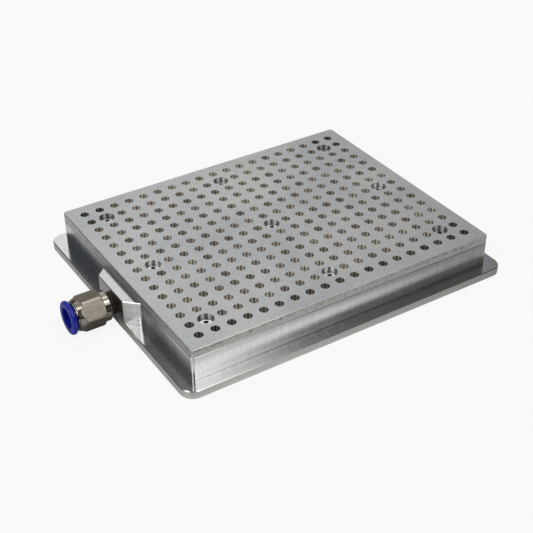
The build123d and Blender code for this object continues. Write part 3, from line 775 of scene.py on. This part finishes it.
def make_screws(steel, steel_and_shade_in_sockets):
    """Nine countersunk socket screws from one: head with a broken rim, hexagon socket, thread, tip."""
    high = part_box("plate_screws")[1]
    shank_length = SCREW_LENGTH - HEAD_RADIUS + SHANK_RADIUS - HEAD_LAND - TIP_BREAK
    sizes = {
        "Columns Apart": SCREW_COLUMNS_APART * HOLE_PITCH * MM,
        "Rows Apart": SCREW_ROWS_APART * HOLE_PITCH * MM,
        "Head Top": high[2], "Head Radius": HEAD_RADIUS * MM, "Head Land": HEAD_LAND * MM,
        "Head Break": HEAD_BREAK * MM, "Shank Radius": SHANK_RADIUS * MM, "Length": SCREW_LENGTH * MM,
        "Socket Radius": SOCKET_FLAT / cos(pi / 6) * MM, "Socket Depth": SOCKET_DEPTH * MM,
        "Socket Break": SOCKET_BREAK * MM, "Tip Break": TIP_BREAK * MM, "Sides": SCREW_SIDES,
        "Thread Pitch": SCREW_PITCH * MM, "Thread Depth": SCREW_THREAD_DEPTH * MM,
        "Thread Rings": round(shank_length / SCREW_PITCH * RINGS_PER_PITCH),
    }
    tree, size = geometry_tree("countersunk_screws", sizes)
    place = add(tree, "GeometryNodeInputPosition")
    height = add(tree, SPLIT, {0: place}).outputs["Z"]
    from_axis = add(tree, VECTOR, {0: place, 1: (1, 1, 0)}, operation="MULTIPLY")
    outward = add(tree, VECTOR, {0: from_axis}, operation="NORMALIZE")
    inward = add(tree, VECTOR, {0: outward, "Scale": -1.0}, operation="SCALE")
    away = add(tree, VECTOR, {0: from_axis}, operation="LENGTH")
    parting = add(tree, MATH, {0: size["Head Radius"], 1: PARTING_SHARE}, operation="MULTIPLY")
    outer = add(tree, MATH, {0: away, 1: parting}, operation="GREATER_THAN")
    open_edge = open_edges(tree)
    outer_rim = add(tree, BOOLEAN, {0: open_edge, 1: outer}, operation="AND")
    inner_rim = add(tree, BOOLEAN, {0: open_edge, 1: outer}, operation="NIMPLY")

    flat_radius = less(tree, size["Head Radius"], size["Head Break"])
    mouth = add(tree, MATH, {0: size["Socket Radius"], 1: size["Socket Break"]}, operation="ADD")
    rim_line = add(tree, CIRCLE, {"Resolution": size["Sides"], "Radius": flat_radius})
    hexagon = add(tree, CIRCLE, {"Resolution": 6, "Radius": mouth})
    face = add(tree, FILL, {0: add(tree, UNITE, {0: (rim_line, hexagon)})})
    cone = less(tree, size["Head Radius"], size["Shank Radius"])
    mesh = draw_rim(tree, face, outer_rim, outward, [
        (size["Head Break"], size["Head Break"]),
        (0.0, less(tree, size["Head Land"], size["Head Break"])),
        (less(tree, 0.0, cone), cone),
    ])
    socket_wall = less(tree, size["Socket Depth"], size["Socket Break"])
    point_depth = add(tree, MATH, {0: size["Socket Radius"], 1: POINT_SLOPE}, operation="MULTIPLY")
    mesh = draw_rim(tree, mesh, inner_rim, inward, [
        (size["Socket Break"], size["Socket Break"]), (0.0, socket_wall),
        (size["Socket Radius"], point_depth),
    ])

    head = add(tree, MATH, {0: cone, 1: size["Head Land"]}, operation="ADD")
    length = less(tree, size["Length"], head, size["Tip Break"])
    shank = threaded_shank(tree, size, head, length, place, inward)
    lower = add(tree, MATH, {0: height, 1: less(tree, 0.0, head, head)}, operation="LESS_THAN")
    lower_rim = add(tree, BOOLEAN, {0: open_edge, 1: lower}, operation="AND")
    shank = draw_rim(tree, shank, lower_rim, inward, [(size["Tip Break"], size["Tip Break"])])
    tip_radius = less(tree, size["Shank Radius"], size["Tip Break"])
    tip_line = add(tree, CIRCLE, {"Resolution": size["Sides"], "Radius": tip_radius})
    down = add(tree, JOIN, {"Z": less(tree, 0.0, size["Length"])})
    tip = add(tree, MOVE, {"Geometry": add(tree, FILL, {0: tip_line}), "Translation": down})
    screw = add(tree, MERGE, {
        "Geometry": add(tree, UNITE, {0: (mesh, shank, tip)}), "Distance": MERGE_NEARER * MM,
    })

    long = add(tree, MATH, {0: size["Columns Apart"], 1: 2.0}, operation="MULTIPLY")
    wide = add(tree, MATH, {0: size["Rows Apart"], 1: 2.0}, operation="MULTIPLY")
    grid = add(tree, GRID, {"Size X": long, "Size Y": wide, "Vertices X": 3, "Vertices Y": 3})
    angle = add(tree, "FunctionNodeRandomValue", {"Max": SCREW_TURNS, "Seed": TURN_SEED})
    turn = add(tree, JOIN, {"Z": add(tree, MATH, {0: angle}, operation="RADIANS")})
    spread = add(tree, ON_POINTS, {"Points": grid, "Instance": screw, "Rotation": turn})
    up = add(tree, JOIN, {"Z": size["Head Top"]})
    whole = add(tree, REALIZE, {0: add(tree, MOVE, {"Geometry": spread, "Translation": up})})

    # The faces inside the sockets, found from their distance to the nearest screw's axis. They take a
    # darker steel that is partly painted shade
    apart = add(tree, JOIN, {"X": size["Columns Apart"], "Y": size["Rows Apart"], "Z": 1.0})
    to_axis = level_way(tree, place, grid_centre(tree, place, apart))
    near = add(tree, MATH, {
        0: add(tree, VECTOR, {0: to_axis}, operation="LENGTH"), 1: parting,
    }, operation="LESS_THAN")
    sunk = less(tree, size["Head Top"], height)
    below = add(tree, MATH, {0: sunk, 1: size["Socket Break"]}, operation="GREATER_THAN")
    above = add(tree, MATH, {0: sunk, 1: head}, operation="LESS_THAN")
    in_socket = add(tree, BOOLEAN, {
        0: near, 1: add(tree, BOOLEAN, {0: below, 1: above}, operation="AND"),
    }, operation="AND")
    finishes = [(True, steel), (in_socket, steel_and_shade_in_sockets)]
    stand_in(grown("socket_screws", tree, whole, finishes, sizes), "plate_screws")


# The fitting, ring by ring round its axis. A ring is its station and radius, or a function that gives
# them at an angle.

def hexagon_radius(angle):
    """Distance from the axis to the hexagon with its corners turned off."""
    off_facet = (angle - HEX_TURN + 30) % 60 - 30
    return min(HEX_FLAT / cos(radians(off_facet)), HEX_CORNER)


def hexagon_back(angle):
    """Where the chamfer behind the hexagon meets it."""
    radius = hexagon_radius(angle)
    return COLLAR_END + (radius - COLLAR_RADIUS - SMALL_BREAK) * tan(radians(HEX_BACK_SLOPE)), radius


def hexagon_front(angle):
    """Where the shoulder or the nose's cone meets the hexagon."""
    radius = hexagon_radius(angle)
    if radius > NOSE_SHOULDER:
        share = (HEX_CORNER - radius) / (HEX_CORNER - NOSE_SHOULDER)
        return HEX_END + share * SMALL_BREAK, radius
    return nose_station(radius), radius


def nose_station(radius):
    """Station on the nose's cone at this radius."""
    lip = NOSE_LIP + SMALL_BREAK
    start, end = HEX_END + SMALL_BREAK, MOUTH - SMALL_BREAK
    return start + (NOSE_SHOULDER - radius) / (NOSE_SHOULDER - lip) * (end - start)


def shoulder(angle):
    """The shoulder's edge, or the hexagon's own where that lies lower."""
    radius = min(hexagon_radius(angle), NOSE_SHOULDER)
    return nose_station(radius) + RING_GAP, radius


def thread_ring(station):
    """Right-hand tapered thread, fading out where it meets the collar."""
    def ring(angle):
        phase = (station / THREAD_PITCH - angle / 360) % 1
        flank = min(1.0, max(0.0, FLANK_SLOPE * abs(2 * phase - 1) - FLANK_START))
        fade = min(1.0, max(0.0, (THREAD_SHOWS - station) / THREAD_PITCH))
        crest = THREAD_RADIUS + THREAD_TAPER * station
        return station, crest - THREAD_DEPTH * flank * fade
    return ring


def make_fitting(thread_sealant_and_shade, turned_nickel, drawn_nickel):
    """The fitting's body as one closed skin: thread, collar, hexagon, nose, and the bores inside."""
    angles = [HEX_TURN + 60 * i + a for i in range(6) for a in FACET_ANGLES]
    threads = int((THREAD_SHOWS - THREAD_END) / THREAD_PITCH * THREAD_RINGS_PER_PITCH)
    thread_step = (THREAD_SHOWS - THREAD_END) / threads
    thread = [(THREAD_END, THREAD_RADIUS - THREAD_LEAD)]
    thread += [thread_ring(THREAD_END + SMALL_BREAK + i * thread_step) for i in range(threads)]
    collar = [
        (THREAD_SHOWS, THREAD_RADIUS + THREAD_TAPER * THREAD_SHOWS),
        (THREAD_SHOWS, COLLAR_RADIUS - SMALL_BREAK),
        (THREAD_SHOWS + ROUNDING, COLLAR_RADIUS - ROUNDING),
        (THREAD_SHOWS + SMALL_BREAK, COLLAR_RADIUS),
        (COLLAR_END, COLLAR_RADIUS),
        (COLLAR_END, COLLAR_RADIUS + SMALL_BREAK),
    ]
    nose = [
        hexagon_front,
        shoulder,
        (MOUTH - SMALL_BREAK, NOSE_LIP + SMALL_BREAK),
        (MOUTH - ROUNDING, NOSE_LIP + SMALL_BREAK - ROUNDING),
        (MOUTH, NOSE_LIP),
    ]
    bores = [
        (MOUTH, SEAL_BORE),
        (SEAL_SEAT, SEAL_BORE),
        (SEAL_SEAT, SOCKET_BORE),
        (TUBE_STOP, SOCKET_BORE),
        (TUBE_STOP, FITTING_BORE),
        (THREAD_END, FITTING_BORE),
    ]
    # The faces that follow each ring take its finish
    parts = [(thread, 0), (collar, 1), ([hexagon_back], 2), (nose, 1), (bores, 1)]
    rings = [(ring, finish) for group, finish in parts for ring in group]
    work = bmesh.new()
    loops = []
    for ring, finish in rings:
        loop = []
        for angle in angles:
            station, radius = ring(angle) if callable(ring) else ring
            y = FITTING_Y - radius * cos(radians(angle))
            z = FITTING_Z + radius * sin(radians(angle))
            loop.append(work.verts.new(Vector((FITTING_FACE_X - station, y, z)) * MM))
        loops.append((loop, finish))
    for i, (loop, finish) in enumerate(loops):
        following = loops[(i + 1) % len(loops)][0]
        for j in range(len(angles)):
            k = (j + 1) % len(angles)
            face = work.faces.new((loop[j], loop[k], following[k], following[j]))
            face.material_index = finish
    bmesh.ops.remove_doubles(work, verts=work.verts, dist=0.001 * MM)
    mesh = bpy.data.meshes.new("fitting")
    work.to_mesh(mesh)
    work.free()
    for finish in (thread_sealant_and_shade, turned_nickel, drawn_nickel):
        mesh.materials.append(finish)
    outwards(mesh)
    stand_in(placed("nickel_fitting", mesh), "fitting_body")


def dress(node, made):
    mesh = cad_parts[node].data
    mesh.materials.clear()
    mesh.materials.append(made)


bpy.context.scene.view_settings.view_transform = "Standard"
make_camera()
make_world()
make_floor()

face_finish = ground_aluminium()
steel_finish = bright_steel("polished_screw_steel", "#f0efec", "#d8d6d2", 0.05, 0.11)
# Pressed steel inside the sockets: darker than the heads, and darker still as painted shade in the hollow
socket_and_shade_finish = bright_steel("pressed_steel_and_painted_shade", "#7a7571", "#5a5652", 0.3, 0.45)
# Brass thread in dried sealant, warm brown, made near-black as painted shade between the collar and the
# boss
thread_and_shade_finish = moulded("brass_thread_in_sealant_and_painted_shade", "#5a5348", "#2e2a26", 0.4, 0.5)
turned_finish = nickel_plate("turned_nickel", False, "#b3aca1", "#9f978c", 0.07)
drawn_finish = nickel_plate("drawn_nickel_flats", True, "#b8afa3", "#958c7f", 0.2)
rubber_finish = moulded("nitrile_rubber", "#1e1e20", "#131314", 0.55, 0.4)

make_drilled_plate(face_finish, pitted_edge(), drilled_wall())
make_screws(steel_finish, socket_and_shade_finish)
make_fitting(thread_and_shade_finish, turned_finish, drawn_finish)

dress("base_block", machined_aluminium())
dress("perforated_plate", face_finish)
dress("plate_screws", steel_finish)
dress("fitting_body", turned_finish)
dress("collet_guide", turned_finish)
dress("release_ring", moulded("blue_acetal", "#1b30bc", "#1424a2", 0.3, 0.6))
dress("plate_seal", rubber_finish)
dress("tube_seal", rubber_finish)
dress("seal_support", moulded("white_acetal", "#ecebe6", "#dddcd6", 0.35, 0.6))
dress("grab_ring", bright_steel("spring_steel_strip", "#cfd0d2", "#a9abae", 0.15, 0.3))
